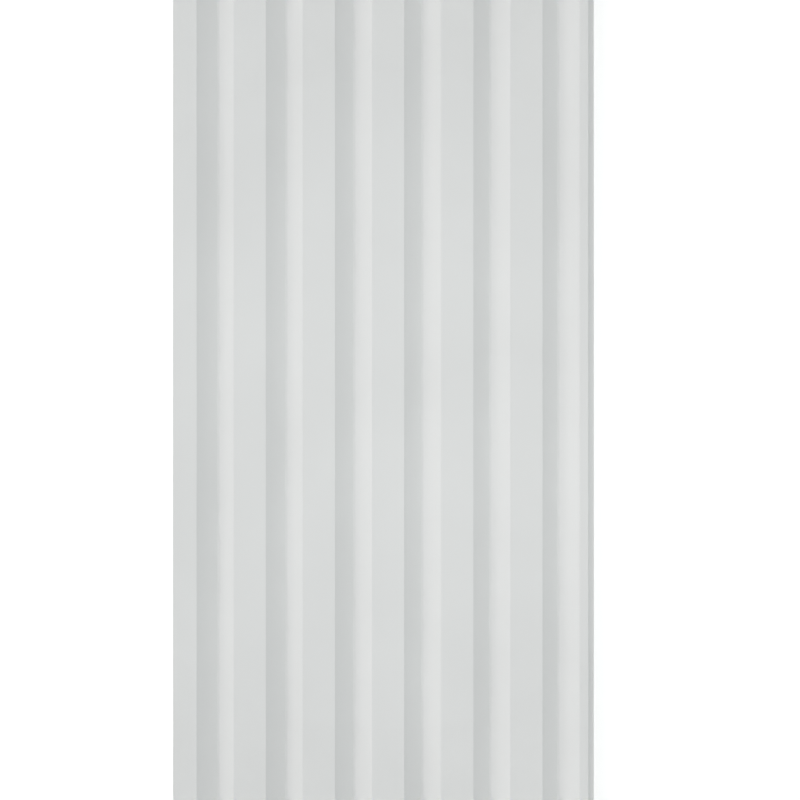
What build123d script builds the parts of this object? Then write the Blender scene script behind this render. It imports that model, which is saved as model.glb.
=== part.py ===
from build123d import *
import math
import os

# Fluted wall panel, moulded in one piece, lying on its back. Millimetres.
# X runs across the flutes, Y along them, and Z out of the wall face.
# The origin is at the middle of the back face.

# Driving dimensions
LENGTH = 2000.0  # the length that the panel is sold in
COVER_WIDTH = 250.0  # what one panel covers when it is lapped with the next
THICKNESS = 16.0

FLUTE_COUNT = 6
FLUTE_WIDTH = 22.2  # across the mouth, before its edges are eased
FLUTE_ANGLE = 90.0  # between the two walls of a flute, in degrees
FLUTE_BOTTOM_RADIUS = 1.5
RIB_WIDTH = 19.4  # flat face between two flutes
FIRST_RIB_WIDTH = 14.4  # flat face left of the first flute

LIP_WIDTH = 4.0  # tongue on the right edge, which goes under the next panel
LIP_DROP = 3.2  # from the wall face down to the top of the lip
LAP_CLEARANCE = 0.2  # between the lip and the panel that covers it
REBATE_WIDTH = 4.5  # under the left edge, over the lip of the panel before

FACE_ARRIS_RADIUS = 0.4  # every edge of the wall face
BACK_ARRIS_RADIUS = 0.5  # the long edges of the back and the tip of the lip

# Worked out from them
WIDTH = COVER_WIDTH + LIP_WIDTH
LEFT = -WIDTH / 2
RIGHT = WIDTH / 2
STEP = LEFT + COVER_WIDTH  # where the wall face ends and the lip begins
FLUTE_DEPTH = FLUTE_WIDTH / 2 / math.tan(math.radians(FLUTE_ANGLE / 2))
FLUTE_PITCH = FLUTE_WIDTH + RIB_WIDTH
FIRST_FLUTE = LEFT + FIRST_RIB_WIDTH + FLUTE_WIDTH / 2
LIP_TOP = THICKNESS - LIP_DROP
REBATE_HEIGHT = LIP_TOP + LAP_CLEARANCE


def slab_section():
    """The plain board, with its lip on the right and its rebate under the left edge."""
    board = Pos((LEFT + RIGHT) / 2, THICKNESS / 2) * Rectangle(WIDTH, THICKNESS)
    above_lip = Pos((STEP + RIGHT) / 2, THICKNESS - LIP_DROP / 2) * Rectangle(LIP_WIDTH, LIP_DROP)
    rebate = Pos(LEFT + REBATE_WIDTH / 2, REBATE_HEIGHT / 2) * Rectangle(REBATE_WIDTH, REBATE_HEIGHT)
    return board - above_lip - rebate


def flute_section():
    """One flute, centred on its own mouth: two flat walls that meet in a round bottom."""
    half = FLUTE_WIDTH / 2
    flute = Polygon((-half, 0), (0, -FLUTE_DEPTH), (half, 0), align=None)
    bottom = flute.vertices().sort_by(Axis.Y)[0]
    return fillet(bottom, FLUTE_BOTTOM_RADIUS)


def panel_section():
    """The whole section, with the flutes cut and the edges eased."""
    flutes = [
        Pos(FIRST_FLUTE + number * FLUTE_PITCH, THICKNESS) * flute_section()
        for number in range(FLUTE_COUNT)
    ]
    section = slab_section() - flutes
    face_edges = section.vertices().filter_by_position(Axis.Y, THICKNESS, THICKNESS)
    section = fillet(face_edges, FACE_ARRIS_RADIUS)
    back_edges = section.vertices().filter_by_position(Axis.Y, 0, 0)
    lip_tip = section.vertices().filter_by_position(Axis.Y, LIP_TOP, LIP_TOP).sort_by(Axis.X)[-1]
    return fillet([*back_edges, lip_tip], BACK_ARRIS_RADIUS)


def wall_panel():
    """The section, drawn across the panel and extruded along its flutes, both ends cut square."""
    return extrude(Plane.XZ * panel_section(), amount=LENGTH / 2, both=True)


os.makedirs("parts", exist_ok=True)
export_step(wall_panel(), "parts/wall_panel.step")
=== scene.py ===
import math

import bmesh
import bpy
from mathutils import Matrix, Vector


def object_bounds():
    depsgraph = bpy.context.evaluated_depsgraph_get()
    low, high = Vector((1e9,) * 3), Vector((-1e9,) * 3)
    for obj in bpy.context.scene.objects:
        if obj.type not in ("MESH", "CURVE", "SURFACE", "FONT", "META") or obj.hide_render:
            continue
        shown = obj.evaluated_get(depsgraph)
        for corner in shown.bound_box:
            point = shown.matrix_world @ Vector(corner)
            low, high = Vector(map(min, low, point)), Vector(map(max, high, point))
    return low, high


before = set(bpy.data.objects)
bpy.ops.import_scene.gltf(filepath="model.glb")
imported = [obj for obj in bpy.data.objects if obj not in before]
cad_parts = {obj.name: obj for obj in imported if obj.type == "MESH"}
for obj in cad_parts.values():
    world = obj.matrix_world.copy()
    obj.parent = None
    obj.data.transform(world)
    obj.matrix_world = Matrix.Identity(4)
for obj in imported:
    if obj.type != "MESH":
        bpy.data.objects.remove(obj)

# A fluted wall panel of primed rigid foam, lying face up on a pale floor and seen straight from above.
# Everything is in metres, in the frame of the CAD model.

CAD_LOW, CAD_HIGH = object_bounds()
MM = 0.001

# The flutes, as the CAD model has them
FLUTE_WIDTH = 22.2 * MM
RIB_WIDTH = 19.4 * MM
FIRST_RIB_WIDTH = 14.4 * MM
FIRST_FLUTE = CAD_LOW.x + FIRST_RIB_WIDTH + FLUTE_WIDTH / 2
FLUTE_TIP = CAD_HIGH.z - FLUTE_WIDTH / 2  # where the two 45 degree walls would meet

# The camera, from where the panel's edges and the bottoms of its flutes lie in the photograph
PHOTO_WIDTH = 800  # pixels
PHOTO_PANEL_LEFT = 172.7
PHOTO_FACE_RIGHT = 588.5  # where the wall face steps down to the lip
FACE_WIDTH = 250 * MM
FIELD_OF_VIEW = math.radians(45)
METRES_PER_PIXEL = FACE_WIDTH / (PHOTO_FACE_RIGHT - PHOTO_PANEL_LEFT)

# The primer: faint clouds, and an orange peel with its relief
CLOUD_SIZE = 90 * MM
PEEL_SIZE = 1.2 * MM
PEEL_HEIGHT = 0.015 * MM
PRIMER_FOOT = 0.35 * MM  # the primer covers the foam from this height up

# The foam's skin: draw lines along the panel
LINE_WIDTH = 0.9 * MM
LINE_LENGTH = 225 * MM
LINE_HEIGHT = 0.012 * MM
LINE_THROUGH_PRIMER = 0.2  # share of that height that shows through the primer
SKIN_TOP = 0.1 * MM  # the skin is bare up to this height

# The sawn ends: cells, a dense rim along the outline, and the arcs of a circular saw
CELL_SIZE = 0.45 * MM
CELL_DEPTH = 0.09 * MM
RIM_WIDTH = 0.6 * MM
RIM_BLUR = 0.18 * MM  # to each side of the rim's inner border
ARC_WIDTH = 1.4 * MM
ARC_HEIGHT = 0.06 * MM
BLADE_MIDDLE = (0.03, 0.0, -0.14)
END_LAYER = 0.02 * MM  # the sawn finish goes in from the end by this much

# The floor, and the even light of the room
FLOOR_SIZE = 14.0
FLOOR_GAP = 0.02 * MM  # below the panel's back, so that the two never share a plane
FLOOR_GLOW = 0.50  # added to what the camera sees of the floor
ROOM_LEVEL = 0.54
ROOM_TINT = "#FBFFFE"  # slightly cool, of the soft box too

# A wide, soft key light far away on the left
KEY_ELEVATION = math.radians(38)
KEY_WIDTH = math.radians(44)
KEY_STRENGTH = 0.67
KEY_TINT = "#FFFAF9"  # slightly warm

# A soft box with a grid, high above the panel's middle
BOX_HEIGHT = 2.0
BOX_SIZE = (0.25, 0.4)
BOX_SPREAD = math.radians(25)
BOX_POWER = 0.10


def colour(hex_code):
    """The linear RGBA of an sRGB hex code."""
    channels = [int(hex_code[i:i + 2], 16) / 255 for i in (1, 3, 5)]
    return [c / 12.92 if c <= 0.04045 else ((c + 0.055) / 1.055) ** 2.4 for c in channels] + [1.0]


def add_node(tree, kind, inputs, output=None, **settings):
    """Adds a node and gives its first output, or the named one. Sockets go by their identifiers,
    and an input takes a value or the output of another node."""
    node = tree.nodes.new(kind)
    for name, value in settings.items():
        setattr(node, name, value)
    sockets = {socket.identifier: socket for socket in node.inputs}
    for name, value in inputs.items():
        if isinstance(value, bpy.types.NodeSocket):
            tree.links.new(value, sockets[name])
        else:
            sockets[name].default_value = value
    return next((socket for socket in node.outputs if output in (None, socket.identifier)), None)


def new_material(name):
    material = bpy.data.materials.new(name)
    material.use_nodes = True
    material.node_tree.nodes.clear()
    return material, material.node_tree


# The finishes: each gives its colour, its roughness and the height of its relief

def sprayed_primer(tree, place, draw_lines):
    """Water-based primer, sprayed and dried at the factory: a soft white, faintly cloudy, with a
    fine orange peel and the draw lines just showing through."""
    cloud = add_node(tree, "ShaderNodeTexNoise", {"Vector": place, "Scale": 1 / CLOUD_SIZE, "Detail": 3.0})
    cloud = add_node(tree, "ShaderNodeMapRange", {"Value": cloud, "From Min": 0.3, "From Max": 0.7})
    white = add_node(
        tree, "ShaderNodeMix",
        {"Factor_Float": cloud, "A_Color": colour("#F2F2F2"), "B_Color": colour("#F6F6F6")},
        "Result_Color", data_type="RGBA",
    )
    peel = add_node(tree, "ShaderNodeTexNoise", {"Vector": place, "Scale": 1 / PEEL_SIZE, "Detail": 2.0})
    rough = add_node(tree, "ShaderNodeMapRange", {"Value": peel, "To Min": 0.76, "To Max": 0.84})
    peel_height = add_node(
        tree, "ShaderNodeMath", {"Value": peel, "Value_001": PEEL_HEIGHT}, operation="MULTIPLY"
    )
    height = add_node(
        tree, "ShaderNodeMath",
        {"Value": draw_lines, "Value_001": LINE_THROUGH_PRIMER * LINE_HEIGHT, "Value_002": peel_height},
        operation="MULTIPLY_ADD",
    )
    return white, rough, height


def foam_skin(tree, draw_lines):
    """The bare skin that the extrusion die leaves on the foam: a warmer white with a dull gloss,
    in fine lines along the panel."""
    tone = add_node(tree, "ShaderNodeMapRange", {"Value": draw_lines, "From Min": 0.35, "From Max": 0.65})
    white = add_node(
        tree, "ShaderNodeMix",
        {"Factor_Float": tone, "A_Color": colour("#E9E8E3"), "B_Color": colour("#EFEEEA")},
        "Result_Color", data_type="RGBA",
    )
    rough = add_node(tree, "ShaderNodeMapRange", {"Value": draw_lines, "To Min": 0.38, "To Max": 0.46})
    height = add_node(
        tree, "ShaderNodeMath", {"Value": draw_lines, "Value_001": LINE_HEIGHT}, operation="MULTIPLY"
    )
    return white, rough, height


def depth_in_section(tree, axes):
    """How far a point of a sawn end lies inside the outline of the panel's section."""
    x, z = axes["X"], axes["Z"]
    from_first = add_node(
        tree, "ShaderNodeMath", {"Value": x, "Value_001": FIRST_FLUTE}, operation="SUBTRACT"
    )
    from_flute = add_node(
        tree, "ShaderNodeMath", {"Value": from_first, "Value_001": (FLUTE_WIDTH + RIB_WIDTH) / 2},
        operation="PINGPONG",
    )
    above_tip = add_node(tree, "ShaderNodeMath", {"Value": z, "Value_001": FLUTE_TIP}, operation="SUBTRACT")
    to_wall = add_node(
        tree, "ShaderNodeMath", {"Value": from_flute, "Value_001": above_tip}, operation="SUBTRACT"
    )
    to_wall = add_node(
        tree, "ShaderNodeMath", {"Value": to_wall, "Value_001": math.sin(math.radians(45))},
        operation="MULTIPLY",
    )
    to_face = add_node(tree, "ShaderNodeMath", {"Value": CAD_HIGH.z, "Value_001": z}, operation="SUBTRACT")
    from_middle = add_node(tree, "ShaderNodeMath", {"Value": x}, operation="ABSOLUTE")
    to_edge = add_node(
        tree, "ShaderNodeMath", {"Value": CAD_HIGH.x, "Value_001": from_middle}, operation="SUBTRACT"
    )
    depth = z
    for other in (to_wall, to_face, to_edge):
        depth = add_node(tree, "ShaderNodeMath", {"Value": depth, "Value_001": other}, operation="MINIMUM")
    return depth


def sawn_foam(tree, place, axes):
    """Foam cut by a circular saw: open cells, drawn coarser than real ones so that they show, with painted
    shade in their pits, faint arcs from the blade's teeth, and round the section a rim where the foam is
    dense and no pits are painted with shade."""
    cells = add_node(tree, "ShaderNodeTexVoronoi", {"Vector": place, "Scale": 1 / CELL_SIZE})
    cells = add_node(tree, "ShaderNodeMapRange", {"Value": cells, "From Min": 0.15, "From Max": 0.7})
    depth = depth_in_section(tree, axes)
    rim = add_node(
        tree, "ShaderNodeMapRange",
        {"Value": depth, "From Min": RIM_WIDTH + RIM_BLUR, "From Max": RIM_WIDTH - RIM_BLUR},
    )
    cell_relief_and_pit_shade = add_node(tree, "ShaderNodeMath", {"Value": cells, "Value_001": rim}, operation="MAXIMUM")
    # Painted shade: the pits of the open cells get the darker white, and the raised cell walls and the
    # dense rim get the lighter one.
    white = add_node(
        tree, "ShaderNodeMix",
        {"Factor_Float": cell_relief_and_pit_shade, "A_Color": colour("#E4E3DE"), "B_Color": colour("#F3F2EE")},
        "Result_Color", data_type="RGBA",
    )
    on_end = add_node(tree, "ShaderNodeMapping", {"Vector": place, "Scale": (1.0, 0.0, 1.0)})
    radius = add_node(
        tree, "ShaderNodeVectorMath", {"Vector": on_end, "Vector_001": BLADE_MIDDLE}, "Value",
        operation="DISTANCE",
    )
    arcs = add_node(
        tree, "ShaderNodeTexNoise", {"W": radius, "Scale": 1 / ARC_WIDTH, "Detail": 1.0},
        noise_dimensions="1D",
    )
    arc_height = add_node(
        tree, "ShaderNodeMath", {"Value": arcs, "Value_001": ARC_HEIGHT}, operation="MULTIPLY"
    )
    height = add_node(
        tree, "ShaderNodeMath",
        {"Value": cell_relief_and_pit_shade, "Value_001": CELL_DEPTH, "Value_002": arc_height}, operation="MULTIPLY_ADD",
    )
    rough = 0.85
    return white, rough, height


def primed_foam():
    """Extruded polystyrene foam. The face and the long edges are primed, the back is the bare skin
    of the foam, and both ends are sawn."""
    material, tree = new_material("white_primer_on_polystyrene_foam")
    place = add_node(tree, "ShaderNodeTexCoord", {}, "Object")
    axes = {axis: add_node(tree, "ShaderNodeSeparateXYZ", {"Vector": place}, axis) for axis in "XYZ"}
    stretched = add_node(
        tree, "ShaderNodeMapping", {"Vector": place, "Scale": (1.0, LINE_WIDTH / LINE_LENGTH, 1.0)}
    )
    draw_lines = add_node(
        tree, "ShaderNodeTexNoise", {"Vector": stretched, "Scale": 1 / LINE_WIDTH, "Detail": 2.0}
    )

    is_back = add_node(
        tree, "ShaderNodeMapRange", {"Value": axes["Z"], "From Min": PRIMER_FOOT, "From Max": SKIN_TOP}
    )
    along = add_node(tree, "ShaderNodeMath", {"Value": axes["Y"]}, operation="ABSOLUTE")
    is_end = add_node(
        tree, "ShaderNodeMapRange",
        {"Value": along, "From Min": CAD_HIGH.y - END_LAYER, "From Max": CAD_HIGH.y - END_LAYER / 2},
    )
    white, rough, height = sprayed_primer(tree, place, draw_lines)
    other_finishes = ((is_back, foam_skin(tree, draw_lines)), (is_end, sawn_foam(tree, place, axes)))
    for mask, (other_white, other_rough, other_height) in other_finishes:
        white = add_node(
            tree, "ShaderNodeMix", {"Factor_Float": mask, "A_Color": white, "B_Color": other_white},
            "Result_Color", data_type="RGBA",
        )
        rough = add_node(
            tree, "ShaderNodeMix", {"Factor_Float": mask, "A_Float": rough, "B_Float": other_rough}
        )
        height = add_node(
            tree, "ShaderNodeMix", {"Factor_Float": mask, "A_Float": height, "B_Float": other_height}
        )
    relief = add_node(tree, "ShaderNodeBump", {"Height": height, "Strength": 1.0, "Distance": 1.0})
    shader = add_node(
        tree, "ShaderNodeBsdfPrincipled",
        {"Base Color": white, "Roughness": rough, "IOR": 1.5, "Normal": relief},
    )
    add_node(tree, "ShaderNodeOutputMaterial", {"Surface": shader})
    return material


# The room, the camera and the lamps

def sees_white(tree):
    """1 for rays that come from the camera or from a reflection, which see a white room."""
    seen = 0.0
    for ray in ("Is Camera Ray", "Is Glossy Ray", "Is Transmission Ray"):
        is_ray = add_node(tree, "ShaderNodeLightPath", {}, ray)
        seen = add_node(tree, "ShaderNodeMath", {"Value": is_ray, "Value_001": seen}, operation="MAXIMUM")
    return seen


def pale_floor():
    """Matt white painted board. It looks white to the camera and keeps a soft shadow."""
    material, tree = new_material("matt_white_floor")
    paint = add_node(tree, "ShaderNodeBsdfDiffuse", {"Color": colour("#EBEBEB")})
    glow = add_node(tree, "ShaderNodeEmission", {"Color": colour("#FFFFFF"), "Strength": FLOOR_GLOW})
    bright = add_node(tree, "ShaderNodeAddShader", {"Shader": paint, "Shader_001": glow})
    seen = add_node(
        tree, "ShaderNodeMixShader", {"Fac": sees_white(tree), "Shader": paint, "Shader_001": bright}
    )
    add_node(tree, "ShaderNodeOutputMaterial", {"Surface": seen})
    return material


def make_world():
    """Even room light, which the camera sees as plain white."""
    world = bpy.data.worlds.new("white_room")
    bpy.context.scene.world = world
    world.use_nodes = True
    tree = world.node_tree
    tree.nodes.clear()
    room = add_node(tree, "ShaderNodeBackground", {"Color": colour(ROOM_TINT), "Strength": ROOM_LEVEL})
    white = add_node(tree, "ShaderNodeBackground", {"Color": colour("#FFFFFF"), "Strength": 1.0})
    seen = add_node(
        tree, "ShaderNodeMixShader", {"Fac": sees_white(tree), "Shader": room, "Shader_001": white}
    )
    add_node(tree, "ShaderNodeOutputWorld", {"Surface": seen})


def make_floor():
    mesh = bpy.data.meshes.new("floor")
    shape = bmesh.new()
    bmesh.ops.create_grid(shape, x_segments=1, y_segments=1, size=FLOOR_SIZE / 2)
    bmesh.ops.translate(shape, verts=shape.verts, vec=(0, 0, CAD_LOW.z - FLOOR_GAP))
    shape.to_mesh(mesh)
    shape.free()
    floor = bpy.data.objects.new("floor", mesh)
    floor.data.materials.append(pale_floor())
    bpy.context.collection.objects.link(floor)


def make_camera():
    """Straight above the middle of the panel, turned so that the photograph's right is +X."""
    height = PHOTO_WIDTH / 2 / math.tan(FIELD_OF_VIEW / 2) * METRES_PER_PIXEL
    middle = PHOTO_PANEL_LEFT - CAD_LOW.x / METRES_PER_PIXEL
    data = bpy.data.cameras.new("camera")
    data.angle = FIELD_OF_VIEW
    data.shift_x = (PHOTO_WIDTH / 2 - middle) / PHOTO_WIDTH
    camera = bpy.data.objects.new("camera", data)
    camera.location = (0, 0, CAD_HIGH.z + height)
    bpy.context.collection.objects.link(camera)
    bpy.context.scene.camera = camera


def add_lamp(name, kind, tint, place, direction, **settings):
    """A lamp that the camera doesn't see, with its light coming from that direction."""
    data = bpy.data.lights.new(name, kind)
    data.color = colour(tint)[:3]
    for setting, value in settings.items():
        setattr(data, setting, value)
    lamp = bpy.data.objects.new(name, data)
    lamp.location = place
    lamp.rotation_euler = Vector(direction).to_track_quat("Z", "Y").to_euler()
    lamp.visible_camera = False
    bpy.context.collection.objects.link(lamp)


def hang_lamps():
    towards_key = (-math.cos(KEY_ELEVATION), 0, math.sin(KEY_ELEVATION))
    add_lamp("key", "SUN", KEY_TINT, towards_key, towards_key, angle=KEY_WIDTH, energy=KEY_STRENGTH)
    add_lamp(
        "soft_box", "AREA", ROOM_TINT, (0, 0, BOX_HEIGHT), (0, 0, 1),
        shape="RECTANGLE", size=BOX_SIZE[0], size_y=BOX_SIZE[1], spread=BOX_SPREAD, energy=BOX_POWER,
    )


def dress_panel():
    foam = primed_foam()
    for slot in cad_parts["wall_panel"].material_slots:
        slot.material = foam


bpy.context.scene.view_settings.view_transform = "Standard"
dress_panel()
make_floor()
make_world()
hang_lamps()
make_camera()
